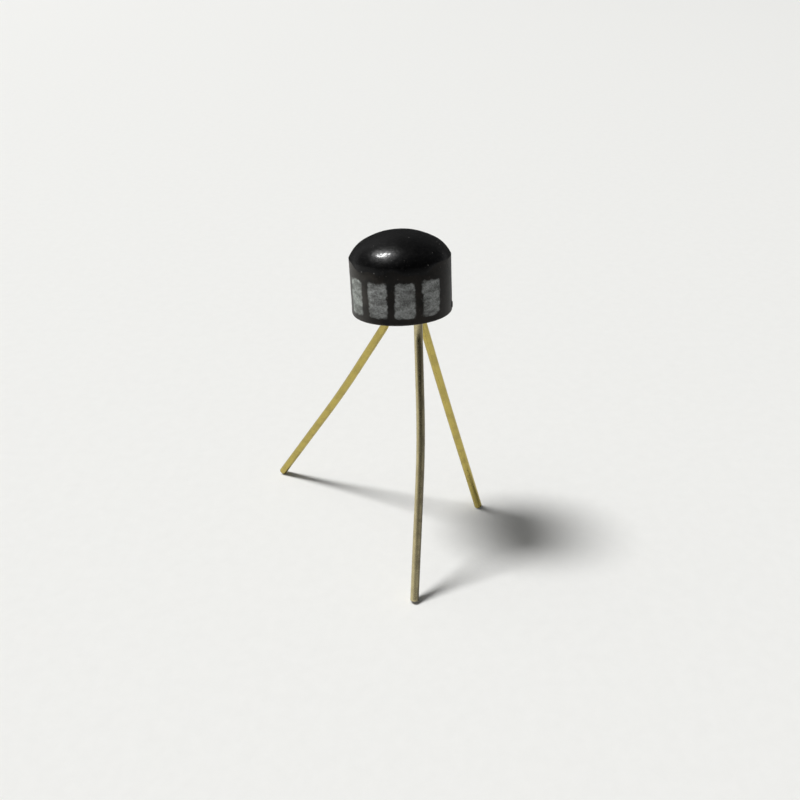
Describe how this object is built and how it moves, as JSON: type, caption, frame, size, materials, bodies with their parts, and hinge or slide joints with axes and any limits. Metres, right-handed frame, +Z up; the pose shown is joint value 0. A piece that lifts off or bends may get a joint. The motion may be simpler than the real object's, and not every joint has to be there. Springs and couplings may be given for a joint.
{
  "type": "transistor",
  "caption": "Small signal transistor: a glossy black epoxy dome cast in a matte dark moulded cup, standing on gold-plated wire leads splayed out by hand. Amplifies or switches small currents.",
  "frame": {"origin": "on the surface that the part stands on, under the middle of the box round its three feet", "axes": "+Z up; +X to the right and -Y towards the viewer in the picture; the body leans back and left by the few degrees that the picture shows"},
  "size_m": [0.0127, 0.0118, 0.0176],
  "materials": {
    "moulded_plastic": "matte dark grey-brown moulding compound, worn",
    "cast_epoxy": "glossy black cast epoxy",
    "gold_plated_lead": "gold plating over nickel-iron wire, dulled and drawn",
    "silicon": "polished silicon with metal pads",
    "gold_wire": "bright gold wire"
  },
  "bodies": {
    "root": {"moulded_cup": "moulded_plastic", "epoxy_dome": "cast_epoxy", "collector_lead": "gold_plated_lead", "base_lead": "gold_plated_lead", "emitter_lead": "gold_plated_lead", "silicon_chip": "silicon", "base_bond_wire": "gold_wire", "emitter_bond_wire": "gold_wire"}
  },
  "joints": []
}
